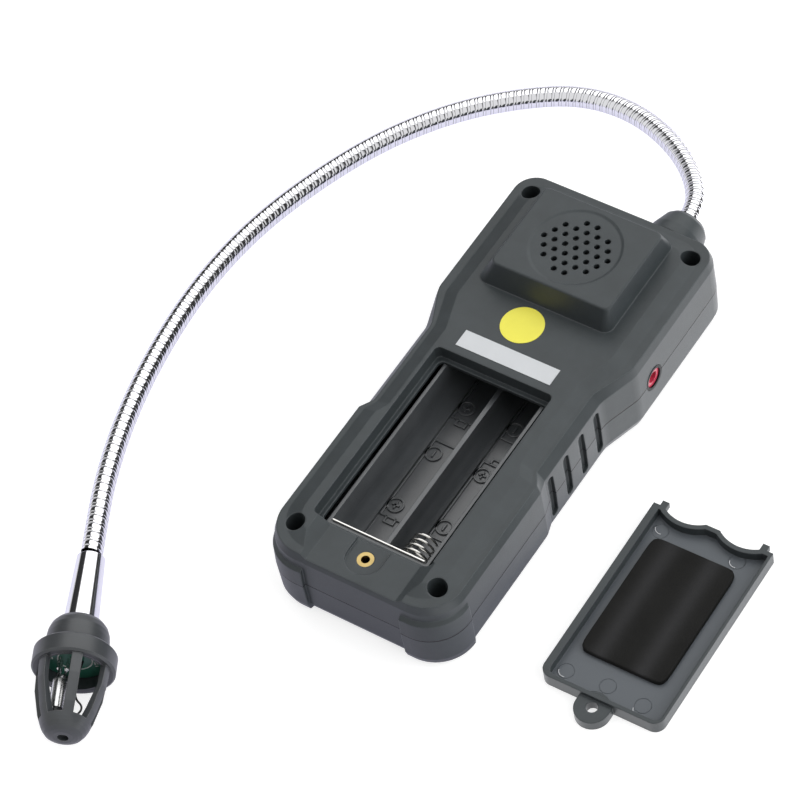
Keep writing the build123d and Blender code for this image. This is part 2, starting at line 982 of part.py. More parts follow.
def sensor_can():
    """Metal can of the sensor with a gauze mouth."""
    x, y = can_shift
    end = can_start + can_length
    mouth = can_radius - 0.9
    can = turned([
        (0, can_start),
        (can_radius, can_start),
        (can_radius, end - 0.4),
        (can_radius - 0.4, end),
        (mouth, end),
        (mouth, end - 0.8),
        (0, end - 0.8),
    ])
    return head_place() * Pos(x, y, 0) * can


def scallops(rim):
    """The two round hollows of the cover's far end, grown by a rim."""
    chord = cover_width / 2 - scallop_middle
    radius = (chord * chord / 4 + scallop_dip * scallop_dip) / (2 * scallop_dip)
    y = cover_length / 2 + radius - scallop_dip
    centre = chord / 2 + scallop_shift
    return Pos(-centre, y) * Circle(radius + rim) + Pos(centre, y) * Circle(radius + rim)


def cover_plan():
    """Outer plan of the battery cover about its centre, with two scallops at the far end."""
    face = Rectangle(cover_width, cover_length)
    face = fillet(face.vertices().sort_by(Axis.Y)[:2], cover_corner)
    return face - scallops(0)


def cover_hollow():
    """Plan of the hollow inside the cover's rim."""
    x0 = -cover_width / 2 + cover_rim_left
    x1 = cover_width / 2 - cover_rim_right
    y0 = -cover_length / 2 + cover_rim_near
    y1 = cover_length / 2 - cover_rim_far
    face = Pos((x0 + x1) / 2, (y0 + y1) / 2) * Rectangle(x1 - x0, y1 - y0)
    face = fillet(face.vertices().sort_by(Axis.Y)[:2], cover_corner - cover_rim_near)
    return face - scallops(cover_rim_far)


def battery_cover():
    """Sliding lid with a rim, a screw ear and two hooks."""
    far = cover_length / 2
    cover = extrude(cover_plan(), amount=cover_height)
    cover -= Pos(0, 0, cover_skin) * extrude(cover_hollow(), amount=cover_height)
    cover += rod(ear_radius, ear_offset, -far - ear_reach, 0, ear_thick)
    cover += block(
        ear_offset - ear_radius, ear_offset + ear_radius, -far - ear_reach, -far + cover_rim_near,
        0, ear_thick,
    )
    cover -= rod(ear_hole_radius, ear_offset, -far - ear_reach, -cut, ear_thick + cut)
    low = cover_height - hook_size
    for side in (-1, 1):
        x = side * (cover_width / 2 - 1.5 * hook_size)
        half = hook_size / 2
        cover += block(x - half, x + half, far - half, far + hook_reach, low, cover_height)
    return Pos(cover_xy[0], cover_xy[1], 0) * Rot(0, 0, cover_turn) * cover


def cover_foam_pad():
    """Foam pad glued inside the cover, which presses on the cells."""
    x, y = pad_foam_shift
    pad = slab(
        pad_foam_width, pad_foam_length, pad_foam_radius, x, y,
        cover_skin, cover_skin + pad_foam_thick,
    )
    return Pos(cover_xy[0], cover_xy[1], 0) * Rot(0, 0, cover_turn) * pad


def round_sticker():
    """Round film sticker on the back face."""
    return rod(sticker_radius, sticker_xy[0], sticker_xy[1], back_z, back_z + film)


def paper_label():
    """Paper strip on the back face, at the edge of the bay."""
    width, length = label_size
    x, y = label_xy
    return block(x - width / 2, x + width / 2, y - length / 2, y + length / 2, back_z, back_z + film)


def parts():
    """Every piece of the detector by its node name."""
    plates = far_contacts()
    pieces = {
        "back_shell": back_shell(),
        "front_shell": front_shell(),
        "battery_tray": battery_tray(),
        "series_contact": series_contact(),
        "battery_spring": battery_spring(),
        "far_contact_plate": plates[1],
        "far_spring_plate": plates[0],
        "far_contact_spring": far_contact_spring(),
        "brass_insert": brass_insert(),
        "housing_screws": housing_screws(),
        "speaker_frame": speaker_frame(),
        "speaker_cone": speaker_cone(),
        "speaker_magnet": speaker_magnet(),
        "main_board": main_board(),
        "led_window": led_window(),
        "indicator_leds": indicator_leds(),
        "earphone_jack": earphone_jack(),
        "jack_ring": jack_ring(),
        "neck_collar": neck_collar(),
        "gooseneck": gooseneck(),
        "neck_ferrule": neck_ferrule(),
        "head_cap": head_cap(),
        "head_cage": head_cage(),
        "sensor_board": sensor_board(),
        "sensor_socket": sensor_socket(),
        "sensor_base": sensor_base(),
        "sensor_can": sensor_can(),
        "battery_cover": battery_cover(),
        "cover_foam_pad": cover_foam_pad(),
        "round_sticker": round_sticker(),
        "paper_label": paper_label(),
    }
    for name, y in zip(("power_button", "sensitivity_button", "mute_button"), button_y):
        pieces[name] = button(y)
    return pieces


os.makedirs("parts", exist_ok=True)
for name, piece in parts().items():
    export_step(piece, "parts/" + name + ".step")
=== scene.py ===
import math

import bpy
import numpy as np
from mathutils import Matrix, Vector


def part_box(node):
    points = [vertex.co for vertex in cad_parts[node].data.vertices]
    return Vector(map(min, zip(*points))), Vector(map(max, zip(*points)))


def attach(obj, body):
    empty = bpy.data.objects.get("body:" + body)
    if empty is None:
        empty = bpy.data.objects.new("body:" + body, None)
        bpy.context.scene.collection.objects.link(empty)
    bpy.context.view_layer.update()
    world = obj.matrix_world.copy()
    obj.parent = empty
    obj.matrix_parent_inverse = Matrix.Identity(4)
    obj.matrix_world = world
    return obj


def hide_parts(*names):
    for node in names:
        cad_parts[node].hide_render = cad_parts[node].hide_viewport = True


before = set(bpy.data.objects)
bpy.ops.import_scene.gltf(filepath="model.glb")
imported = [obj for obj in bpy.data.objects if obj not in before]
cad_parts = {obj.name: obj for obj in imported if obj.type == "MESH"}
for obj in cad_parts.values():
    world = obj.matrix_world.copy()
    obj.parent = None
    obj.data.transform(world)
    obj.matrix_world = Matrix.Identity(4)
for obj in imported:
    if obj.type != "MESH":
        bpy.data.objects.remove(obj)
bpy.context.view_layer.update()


# Camera.
# The detector lies on its front on a table and is seen from above its right-hand butt corner,
# through a long lens held a little tilted.

camera_place = Vector((0.41538, -0.49961, 0.87635))
camera_aim = Vector((-0.03354, 0.00076, 0.0))
camera_tilt = math.radians(11.52)

back = (camera_place - camera_aim).normalized()
level = Vector((0, 0, 1)).cross(back).normalized()
upright = back.cross(level)
right = math.cos(camera_tilt) * level - math.sin(camera_tilt) * upright
up = back.cross(right)
lens = bpy.data.cameras.new("studio_camera")
lens.sensor_width = 36
lens.lens = 173.05
lens.shift_x = -0.0039
lens.shift_y = -0.0061
camera = bpy.data.objects.new("studio_camera", lens)
camera.matrix_world = Matrix.Translation(camera_place) @ Matrix((right, up, back)).transposed().to_4x4()
bpy.context.scene.collection.objects.link(camera)
bpy.context.scene.camera = camera
bpy.context.scene.view_settings.view_transform = "Standard"


# Table and studio.
# A seamless white table under a light tent: soft light from both sides and from above.
# The table is white to the eye and in the chrome, and still takes a faint contact shadow.

table_reach = 3.0
table_gap = 0.00005
seen_from_under = 0.0004
table_white_level = 0.5
table_glow = (0.74, 0.74, 0.74)
mirrored_near = (0.47, 0.46, 0.6)
mirrored_right = (1.6, 1.6, 1.65)
mirrored_side = (1.0, 0.25, 0.0)
mirrored_change = (0.024, 0.036)
side_lamps = (
    ("lamp_right", (1.0, 0.3, 0.5), 2.35),
    ("lamp_left", (-1.0, 0.35, 0.75), 0.7),
    ("lamp_top", (-0.1, 0.35, 1.0), 0.65),
)
lamp_spread = math.radians(70)
sky_level = 0.3
softbox_side = Vector((-0.075, 0.62, 0.78)).normalized()
softbox_steps = ((0.0, 0.03), (0.75, 0.04), (0.785, 0.3), (0.82, 1.7), (1.0, 1.8))
front_side = Vector((0.0, -1.0, 0.25)).normalized()
front_steps = ((0.0, 0.0), (0.02, 0.0), (0.25, 0.85), (1.0, 0.85))
horizon_steps = ((0.0, 0.8), (0.09, 0.75), (0.16, 0.03), (1.0, 0.05))
below_horizon = -0.01
under_level = 0.9
under_glare = 0.6


def put(tree, kind, place=(0, 0), **settings):
    """A shader node of this kind; settings name its properties, or its inputs by number or name."""
    made = tree.nodes.new(kind)
    made.location = place
    for key, value in settings.items():
        if key.startswith("in_"):
            slot = key[3:]
            made.inputs[int(slot) if slot.isdigit() else slot.replace("_", " ")].default_value = value
        else:
            setattr(made, key, value)
    return made


def mesh_piece(name, points, faces, material, smooth=True):
    """A mesh object from an array of points and a list or array of faces, shaded smooth or flat."""
    mesh = bpy.data.meshes.new(name)
    mesh.from_pydata(np.asarray(points).tolist(), [], [list(face) for face in faces])
    mesh.polygons.foreach_set("use_smooth", [smooth] * len(mesh.polygons))
    mesh.materials.append(material)
    piece = bpy.data.objects.new(name, mesh)
    bpy.context.scene.collection.objects.link(piece)
    return piece


def ranged(tree, given, before, after, place):
    """A value carried from one range to another, each given by its two ends, and held at those ends."""
    made = put(tree, "ShaderNodeMapRange", place)
    made.inputs["From Min"].default_value, made.inputs["From Max"].default_value = before
    made.inputs["To Min"].default_value, made.inputs["To Max"].default_value = after
    tree.links.new(given, made.inputs["Value"])
    return made.outputs[0]


def reaching(tree, given, side, place):
    """How far a vector reaches to one side: its dot product with the direction of that side."""
    made = put(tree, "ShaderNodeVectorMath", place, operation="DOT_PRODUCT", in_1=side)
    tree.links.new(given, made.inputs[0])
    return made.outputs["Value"]


def either(tree, first, second, place):
    """Mask that is 1 where one mask or the other is."""
    made = put(tree, "ShaderNodeMath", place, operation="MAXIMUM")
    tree.links.new(first, made.inputs[0])
    tree.links.new(second, made.inputs[1])
    return made.outputs[0]


def switched(tree, mask, off, on, place):
    """One shader where the mask is 0, and another where it is 1."""
    made = put(tree, "ShaderNodeMixShader", place)
    tree.links.new(mask, made.inputs[0])
    tree.links.new(off.outputs[0], made.inputs[1])
    tree.links.new(on.outputs[0], made.inputs[2])
    return made


table_white = bpy.data.materials.new("table_white")
table_white.use_nodes = True
tree = table_white.node_tree
paint = tree.nodes["Principled BSDF"]
paint.inputs["Base Color"].default_value = (*[table_white_level] * 3, 1)
paint.inputs["Roughness"].default_value = 1.0
paint.inputs["Specular IOR Level"].default_value = 0.0
path = put(tree, "ShaderNodeLightPath", (-900, 100))
seen = either(tree, path.outputs["Is Camera Ray"], path.outputs["Is Glossy Ray"], (-700, 300))
seen = either(tree, seen, path.outputs["Is Transmission Ray"], (-500, 300))
tree.links.new(seen, paint.inputs["Emission Strength"])

# In the chrome the table is darker and bluer, and bright toward its right-hand side.
coords = put(tree, "ShaderNodeTexCoord", (-1300, -200))
across = reaching(tree, coords.outputs["Object"], mirrored_side, (-1100, -200))
mirrored = put(tree, "ShaderNodeMix", (-600, -200), data_type="RGBA")
mirrored.inputs[6].default_value = (*mirrored_near, 1)
mirrored.inputs[7].default_value = (*mirrored_right, 1)
tree.links.new(ranged(tree, across, mirrored_change, (0.0, 1.0), (-900, -200)), mirrored.inputs[0])
glow = put(tree, "ShaderNodeMix", (-300, 100), data_type="RGBA")
glow.inputs[6].default_value = (*table_glow, 1)
tree.links.new(path.outputs["Is Glossy Ray"], glow.inputs[0])
tree.links.new(mirrored.outputs[2], glow.inputs[7])
tree.links.new(glow.outputs[2], paint.inputs["Emission Color"])

# The table can be looked through from below, and so can the hair's breadth under what rests on it.
side = put(tree, "ShaderNodeNewGeometry", (0, 600))
close = put(tree, "ShaderNodeMath", (0, 400), operation="LESS_THAN", in_1=seen_from_under)
tree.links.new(path.outputs["Ray Length"], close.inputs[0])
passed = either(tree, side.outputs["Backfacing"], close.outputs[0], (200, 500))
clear = put(tree, "ShaderNodeBsdfTransparent", (200, 300))
one_sided = switched(tree, passed, paint, clear, (450, 300))
tree.links.new(one_sided.outputs[0], tree.nodes["Material Output"].inputs["Surface"])

table_corners = table_reach * np.array([(-1, -1), (1, -1), (1, 1), (-1, 1)])
table_points = np.column_stack([table_corners, np.full(4, -table_gap)])
table = mesh_piece("table", table_points, [(0, 1, 2, 3)], table_white, smooth=False)

for lamp_name, direction, strength in side_lamps:
    sun = bpy.data.lights.new(lamp_name, "SUN")
    sun.energy = strength
    sun.angle = lamp_spread
    lamp = bpy.data.objects.new(lamp_name, sun)
    lamp.matrix_world = Vector(direction).to_track_quat("Z", "Y").to_matrix().to_4x4()
    lamp.visible_glossy = False
    bpy.context.scene.collection.objects.link(lamp)


def toned(tree, given, steps, place):
    """Greys along a value from 0 to 1: each step gives a position and the tone there."""
    ramp = put(tree, "ShaderNodeValToRGB", place)
    stops = ramp.color_ramp.elements
    while len(stops) < len(steps):
        stops.new(0.5)
    for stop, (position, tone) in zip(stops, steps):
        stop.position = position
        stop.color = (tone, tone, tone, 1)
    tree.links.new(given, ramp.inputs[0])
    return ramp.outputs[0]


def lighter(tree, first, second, place):
    """The lighter of two colours."""
    made = put(tree, "ShaderNodeMix", place, data_type="RGBA", blend_type="LIGHTEN", in_0=1.0)
    tree.links.new(first, made.inputs[6])
    tree.links.new(second, made.inputs[7])
    return made.outputs[2]


# What gloss sees above the table: one large softbox behind the neck with dark felt round it, a pale wall
# in front, and the light rim of the table at the horizon. Below the table there is plain light.
world = bpy.data.worlds.new("light_tent")
bpy.context.scene.world = world
world.use_nodes = True
tree = world.node_tree
tree.nodes.clear()
towards = put(tree, "ShaderNodeTexCoord", (-900, 0)).outputs["Generated"]
split = put(tree, "ShaderNodeSeparateXYZ", (-700, -300))
tree.links.new(towards, split.inputs[0])
height = split.outputs["Z"]
softbox = toned(tree, reaching(tree, towards, softbox_side, (-700, 0)), softbox_steps, (-500, 0))
horizon = toned(tree, height, horizon_steps, (-500, -300))
front_wall = toned(tree, reaching(tree, towards, front_side, (-700, -600)), front_steps, (-500, -600))
beneath = ranged(tree, height, (0.0, below_horizon), (0.0, under_glare), (-500, -900))
glare = lighter(tree, softbox, horizon, (-200, 0))
glare = lighter(tree, glare, front_wall, (-200, -300))
glare = lighter(tree, glare, beneath, (-200, -600))
tent = put(tree, "ShaderNodeBackground", (0, 0))
tree.links.new(glare, tent.inputs["Color"])
soft = put(tree, "ShaderNodeBackground", (0, -150), in_Color=(1, 1, 1, 1))
around = ranged(tree, height, (0.0, below_horizon), (sky_level, under_level), (-500, -1200))
tree.links.new(around, soft.inputs["Strength"])
white = put(tree, "ShaderNodeBackground", (0, 150), in_Color=(1, 1, 1, 1), in_Strength=1.0)
path = put(tree, "ShaderNodeLightPath", (-200, 450))
by_gloss = switched(tree, path.outputs["Is Glossy Ray"], soft, tent, (200, 0))
eye = either(tree, path.outputs["Is Camera Ray"], path.outputs["Is Transmission Ray"], (0, 450))
by_eye = switched(tree, eye, by_gloss, white, (450, 0))
out = put(tree, "ShaderNodeOutputWorld", (700, 0))
tree.links.new(by_eye.outputs[0], out.inputs["Surface"])


# Housing.
# Two halves injection-moulded in charcoal grey ABS and screwed together from the back.
# The mould is spark-eroded, which leaves a fine satin grain; the edges are softly rounded.

housing_colour = (0.04, 0.0475, 0.051)
# The paler edge colour is partly rubbed wear and partly a painted highlight: thin bright lines along the
# rounded rims.
housing_edge_wear_and_highlight = (0.14, 0.155, 0.163)
housing_roughness = 0.42
housing_gloss = 0.42
plastic_cloud_size = 9.0
roughness_play = 0.06
cloud_range = (0.3, 0.7)
edge_turn = (0.985, 0.8)
all_faces = -1.1


def group_sockets(tree, takes, gives):
    """Sockets of a node group: what it takes is given by name and value, what it gives by name and kind."""
    for name, value in takes:
        taken = tree.interface.new_socket(name, in_out="INPUT", socket_type="NodeSocketFloat")
        taken.default_value = value
    for name, kind in gives:
        tree.interface.new_socket(name, in_out="OUTPUT", socket_type=kind)
    return put(tree, "NodeGroupInput", (-1200, 0)), put(tree, "NodeGroupOutput", (900, 0))


def build_grain():
    """Grain of a spark-eroded mould: fine noise for the height, slow noise for the tone."""
    tree = bpy.data.node_groups.new("moulded_grain", "ShaderNodeTree")
    given, result = group_sockets(
        tree,
        (("Grain Size mm", 0.3), ("Cloud Size mm", plastic_cloud_size)),
        (("Height", "NodeSocketFloat"), ("Cloud", "NodeSocketFloat")),
    )
    coords = put(tree, "ShaderNodeTexCoord", (-1200, -300))
    effects = (("Grain Size mm", 3, "Height"), ("Cloud Size mm", 4, "Cloud"))
    for row, (size, detail, target) in enumerate(effects):
        scale = put(tree, "ShaderNodeMath", (-900, -300 * row), operation="DIVIDE", in_0=1000.0)
        tree.links.new(given.outputs[size], scale.inputs[1])
        noise = put(tree, "ShaderNodeTexNoise", (-600, -300 * row), in_Detail=detail, in_Roughness=0.6)
        tree.links.new(coords.outputs["Object"], noise.inputs["Vector"])
        tree.links.new(scale.outputs[0], noise.inputs["Scale"])
        tree.links.new(noise.outputs[0], result.inputs[target])
    return tree


def build_edges():
    """Softened edges: the normal turned across each sharp edge, and a mask of where it turns."""
    tree = bpy.data.node_groups.new("softened_edges", "ShaderNodeTree")
    given, result = group_sockets(
        tree,
        (("Radius mm", 0.5),),
        (("Normal", "NodeSocketVector"), ("Edge", "NodeSocketFloat")),
    )
    metres = put(tree, "ShaderNodeMath", (-900, 0), operation="MULTIPLY", in_1=0.001)
    round_off = put(tree, "ShaderNodeBevel", (-650, 0), samples=6)
    flat = put(tree, "ShaderNodeNewGeometry", (-650, -250))
    turned = put(tree, "ShaderNodeVectorMath", (-400, -100), operation="DOT_PRODUCT")
    mask = ranged(tree, turned.outputs["Value"], edge_turn, (0.0, 1.0), (-150, -100))
    tree.links.new(given.outputs[0], metres.inputs[0])
    tree.links.new(metres.outputs[0], round_off.inputs["Radius"])
    tree.links.new(round_off.outputs[0], turned.inputs[0])
    tree.links.new(flat.outputs["Normal"], turned.inputs[1])
    tree.links.new(round_off.outputs[0], result.inputs["Normal"])
    tree.links.new(mask, result.inputs["Edge"])
    return tree


def build_band():
    """Mask of a band between two heights, on faces whose normal rises more than is given, from -1 to 1."""
    tree = bpy.data.node_groups.new("height_band", "ShaderNodeTree")
    given, result = group_sockets(
        tree,
        (("Middle mm", 0.0), ("Half Width mm", 1.0), ("Least Rise", all_faces)),
        (("Mask", "NodeSocketFloat"),),
    )
    coords = put(tree, "ShaderNodeTexCoord", (-1200, -300))
    place = put(tree, "ShaderNodeSeparateXYZ", (-900, -300))
    within = put(tree, "ShaderNodeMath", (-300, 0), operation="COMPARE")
    tree.links.new(coords.outputs["Object"], place.inputs[0])
    tree.links.new(place.outputs["Z"], within.inputs[0])
    for name, target in (("Middle mm", 1), ("Half Width mm", 2)):
        metres = put(tree, "ShaderNodeMath", (-600, -200 * target), operation="MULTIPLY", in_1=0.001)
        tree.links.new(given.outputs[name], metres.inputs[0])
        tree.links.new(metres.outputs[0], within.inputs[target])
    shape = put(tree, "ShaderNodeNewGeometry", (-900, -700))
    lean = put(tree, "ShaderNodeSeparateXYZ", (-600, -700))
    rising = put(tree, "ShaderNodeMath", (-300, -700), operation="GREATER_THAN")
    both = put(tree, "ShaderNodeMath", (0, 0), operation="MULTIPLY")
    tree.links.new(shape.outputs["Normal"], lean.inputs[0])
    tree.links.new(lean.outputs["Z"], rising.inputs[0])
    tree.links.new(given.outputs["Least Rise"], rising.inputs[1])
    tree.links.new(within.outputs[0], both.inputs[0])
    tree.links.new(rising.outputs[0], both.inputs[1])
    tree.links.new(both.outputs[0], result.inputs["Mask"])
    return tree


grain_group = build_grain()
edge_group = build_edges()
band_group = build_band()


def surfaced(name, colour, tones, grain, cloud_size, bump, radius):
    """A material whose colour clouds between two tones, with a fine grain in its height and softened edges.
    It comes with the fields that its finish may read: the grain's height, the clouds and the edges."""
    material = bpy.data.materials.new(name)
    material.use_nodes = True
    tree = material.node_tree
    shader = tree.nodes["Principled BSDF"]
    texture = put(tree, "ShaderNodeGroup", (-1100, 0), node_tree=grain_group)
    texture.inputs["Grain Size mm"].default_value = grain
    texture.inputs["Cloud Size mm"].default_value = cloud_size
    edges = put(tree, "ShaderNodeGroup", (-1100, -300), node_tree=edge_group)
    edges.inputs["Radius mm"].default_value = radius
    tone = put(tree, "ShaderNodeVectorMath", (-550, 200), operation="SCALE", in_0=colour)
    shade = ranged(tree, texture.outputs["Cloud"], cloud_range, tones, (-800, 200))
    tree.links.new(shade, tone.inputs["Scale"])
    tree.links.new(tone.outputs[0], shader.inputs["Base Color"])
    relief = put(tree, "ShaderNodeBump", (-300, -300), in_Strength=1.0, in_Distance=0.001 * bump)
    tree.links.new(texture.outputs["Height"], relief.inputs["Height"])
    tree.links.new(edges.outputs["Normal"], relief.inputs["Normal"])
    tree.links.new(relief.outputs[0], shader.inputs["Normal"])
    fields = {
        "height": texture.outputs["Height"],
        "cloud": texture.outputs["Cloud"],
        "edge": edges.outputs["Edge"],
    }
    return material, fields


def painted(material, mask, colour):
    """Another colour laid over the material's own where the mask is 1."""
    tree = material.node_tree
    base = tree.nodes["Principled BSDF"].inputs["Base Color"]
    under = base.links[0].from_socket
    over = put(tree, "ShaderNodeMix", (-100, 400), data_type="RGBA")
    over.inputs[7].default_value = (*colour, 1)
    tree.links.new(mask, over.inputs[0])
    tree.links.new(under, over.inputs[6])
    tree.links.new(over.outputs[2], base)


def polished(material, field, low, high):
    """Roughness that follows a field between two values."""
    tree = material.node_tree
    rough = ranged(tree, field, (0.0, 1.0), (low, high), (-800, -200))
    tree.links.new(rough, tree.nodes["Principled BSDF"].inputs["Roughness"])


def moulded(
    name, colour, edge_wear_and_highlight, roughness, grain=0.3, bump=0.02, radius=0.5, cloud=0.12, edge_wear_and_highlight_share=0.35, gloss=0.5
):
    """Moulded plastic: the colour clouded a little, paler along the edges as rubbed wear and as a painted
    highlight, with a fine grain.
    """
    tones = (1 - cloud, 1 + cloud)
    material, fields = surfaced(name, colour, tones, grain, plastic_cloud_size, bump, radius)
    tree = material.node_tree
    tree.nodes["Principled BSDF"].inputs["Specular IOR Level"].default_value = gloss
    # Paler colour on the edges: partly rubbed wear, partly a painted highlight of the bright lines that
    # light draws along rounded edges.
    edge_wear_and_highlight_mask = put(tree, "ShaderNodeMath", (-800, -50), operation="MULTIPLY", in_1=edge_wear_and_highlight_share)
    tree.links.new(fields["edge"], edge_wear_and_highlight_mask.inputs[0])
    painted(material, edge_wear_and_highlight_mask.outputs[0], edge_wear_and_highlight)
    polished(material, fields["height"], roughness - roughness_play, roughness + roughness_play)
    return material


def banded(material, middle, half_width, colour, least_rise=all_faces):
    """Another colour in a band of heights in millimetres, on every face or only on those that look up."""
    zone = put(material.node_tree, "ShaderNodeGroup", (-1100, 700), node_tree=band_group)
    zone.inputs["Middle mm"].default_value = middle
    zone.inputs["Half Width mm"].default_value = half_width
    zone.inputs["Least Rise"].default_value = least_rise
    painted(material, zone.outputs["Mask"], colour)


def dress(material, *names):
    """Gives CAD nodes this material in place of the flat one they came with."""
    for name in names:
        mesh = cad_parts[name].data
        mesh.materials.clear()
        mesh.materials.append(material)


parting_height = 13.0
parting_half = 0.28
parting_dark = (0.004, 0.004, 0.005)
housing_plastic = moulded(
    "housing_plastic", housing_colour, housing_edge_wear_and_highlight, housing_roughness,
    radius=0.6, edge_wear_and_highlight_share=0.5, gloss=housing_gloss,
)
banded(housing_plastic, parting_height, parting_half, parting_dark)
dress(housing_plastic, "back_shell", "front_shell", "neck_collar")


# Battery tray and contacts.
# A glossy black cradle moulded with two round-bottomed troughs, each for two cells in line.
# Springs and plates are nickel-plated spring steel.

tray_colour = (0.062, 0.067, 0.072)
tray_edge_wear_and_highlight = (0.17, 0.18, 0.185)
tray_plastic = moulded(
    "tray_plastic", tray_colour, tray_edge_wear_and_highlight, 0.3, grain=0.6, bump=0.006, radius=0.35, edge_wear_and_highlight_share=0.8, gloss=0.95
)
dress(tray_plastic, "battery_tray")

tray_floor_z = 7.2
trough_x = (-9.5, 6.7)
mark_line = 0.55
mark_root = 0.1
mark_height = 0.5
mark_half_width = 3.6
mark_shift = -1.4
circle_radius = 2.3
sign_half = 1.2
nub_half = 1.5
nub_reach = 1.9
first_cell = (-41.0, -12.5)
second_cell = (-3.4, 25.0)
circle_inset = 4.3


def band(path, closed, width, low, high, least_cosine=0.3):
    """A flat strip along a path in the plane, with a square section: each point is moved to both sides along
    the mean of the normals before and behind it, lengthened so that the strip keeps its width round a
    corner. The lengthening stops at the least cosine of half the turn."""
    path = np.asarray(path, float)
    ahead = np.roll(path, -1, axis=0) - path
    ahead /= np.linalg.norm(ahead, axis=1, keepdims=True)
    if not closed:
        ahead[-1] = ahead[-2]
    behind = np.roll(ahead, 1, axis=0)
    if not closed:
        behind[0] = ahead[0]
    normal = np.column_stack([-(ahead + behind)[:, 1], (ahead + behind)[:, 0]])
    normal /= np.linalg.norm(normal, axis=1, keepdims=True)
    straight = np.column_stack([-ahead[:, 1], ahead[:, 0]])
    reach = 0.5 * width / np.maximum(least_cosine, (normal * straight).sum(axis=1, keepdims=True))
    section = ((1, low), (1, high), (-1, high), (-1, low))
    rim = [(path + side * reach * normal, height) for side, height in section]
    points = np.stack([np.column_stack([flat, np.full(len(flat), height)]) for flat, height in rim], axis=1)
    count = len(path)
    row, column = np.meshgrid(np.arange(count if closed else count - 1), np.arange(4), indexing="ij")
    following = (row + 1) % count
    turn = (column + 1) % 4
    quads = [row * 4 + column, following * 4 + column, following * 4 + turn, row * 4 + turn]
    faces = np.stack(quads, axis=-1).reshape(-1, 4)[:, ::-1]
    if not closed:
        last = 4 * (count - 1)
        faces = np.vstack([faces, [3, 2, 1, 0], [last, last + 1, last + 2, last + 3]])
    return points.reshape(-1, 3), faces


def arc(x, y, radius, start=0.0, stop=2 * math.pi, count=40):
    """Points on a circle from one angle to another; a whole circle leaves out its last point."""
    whole = abs(stop - start) > 2 * math.pi - 1e-6
    angle = np.linspace(start, stop, count, endpoint=not whole)
    return np.column_stack([x + radius * np.cos(angle), y + radius * np.sin(angle)])


def together(shapes):
    """One array of points and one of faces from several."""
    starts = np.cumsum([0] + [len(points) for points, faces in shapes[:-1]])
    return (
        np.vstack([points for points, faces in shapes]),
        np.vstack([faces + start for start, (points, faces) in zip(starts, shapes)]),
    )


def cell_mark(x, near, far, plus_near):
    """Raised outline of a cell on the trough's floor, with its nub and a plus and a minus in circles."""
    def rib(path, closed=False):
        return band(path, closed, mark_line, tray_floor_z - mark_root, tray_floor_z + mark_height)

    left, right = x - mark_half_width, x + mark_half_width
    nub_base, nub_side = (near, -1) if plus_near else (far, 1)
    nub_end = nub_base + nub_side * nub_reach
    nub_left, nub_right = x - nub_half, x + nub_half
    plus_y, minus_y = (near + circle_inset, far - circle_inset)[:: 1 if plus_near else -1]
    sign_x = x + mark_shift
    return [
        rib([(left, near), (right, near), (right, far), (left, far)], closed=True),
        rib([(nub_left, nub_base), (nub_left, nub_end), (nub_right, nub_end), (nub_right, nub_base)]),
        rib(arc(sign_x, plus_y, circle_radius), closed=True),
        rib(arc(sign_x, minus_y, circle_radius), closed=True),
        rib([(sign_x - sign_half, plus_y), (sign_x + sign_half, plus_y)]),
        rib([(sign_x, plus_y - sign_half), (sign_x, plus_y + sign_half)]),
        rib([(sign_x, minus_y - sign_half), (sign_x, minus_y + sign_half)]),
    ]


def set_piece(name, shape, material, scale=0.001, smooth=False):
    """A piece that rides on the housing. Its points are in millimetres, or in metres with a scale of 1."""
    points, faces = shape
    piece = mesh_piece(name, points * scale, faces, material, smooth)
    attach(piece, "housing")
    return piece


marks = []
for cell in (first_cell, second_cell):
    marks += cell_mark(trough_x[0], *cell, plus_near=True)
    marks += cell_mark(trough_x[1], *cell, plus_near=False)
set_piece("cell_marks", together(marks), tray_plastic)


plate_grain = 0.4
plate_cloud_size = 4.0
plate_edge = 0.15
polish_play = 0.3


def metal(name, colour, roughness, cloud=0.1, bump=0.002):
    """Plated or turned metal: the colour and polish vary slowly, as plating and fingers leave them."""
    tones = (1 - cloud, 1.0)
    material, fields = surfaced(name, colour, tones, plate_grain, plate_cloud_size, bump, plate_edge)
    material.node_tree.nodes["Principled BSDF"].inputs["Metallic"].default_value = 1.0
    polished(material, fields["cloud"], roughness * (1 - polish_play), roughness * (1 + polish_play))
    return material


nickel = metal("nickel_plate", (0.78, 0.77, 0.74), 0.18)
dress(
    nickel, "series_contact", "battery_spring", "far_contact_plate", "far_spring_plate", "far_contact_spring"
)


# Screws and insert.
# Blackened pan-head screws at the bottom of the four wells, and the brass insert for the lid's screw.

black_steel = metal("black_steel", (0.12, 0.12, 0.125), 0.4)
dress(black_steel, "housing_screws")
brass = metal("turned_brass", (0.55, 0.41, 0.17), 0.32, cloud=0.3)
dress(brass, "brass_insert")

insert_low, insert_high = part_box("brass_insert")
thread_pitch = 0.0005
thread_root = 0.00124
thread_crest = 0.00104


def winding_faces(rows, count, columns):
    """Quads of a skin that winds as a screw does: its last column meets the first one a turn, or count rows,
    further on."""
    number = np.arange(rows)[:, None] * columns + np.arange(columns)[None, :]
    wrapped = np.concatenate([number[: rows - count], number[count:, :1]], axis=1)
    quads = [wrapped[:-1, :-1], wrapped[1:, :-1], wrapped[1:, 1:], wrapped[:-1, 1:]]
    return np.stack(quads, axis=-1).reshape(-1, 4)


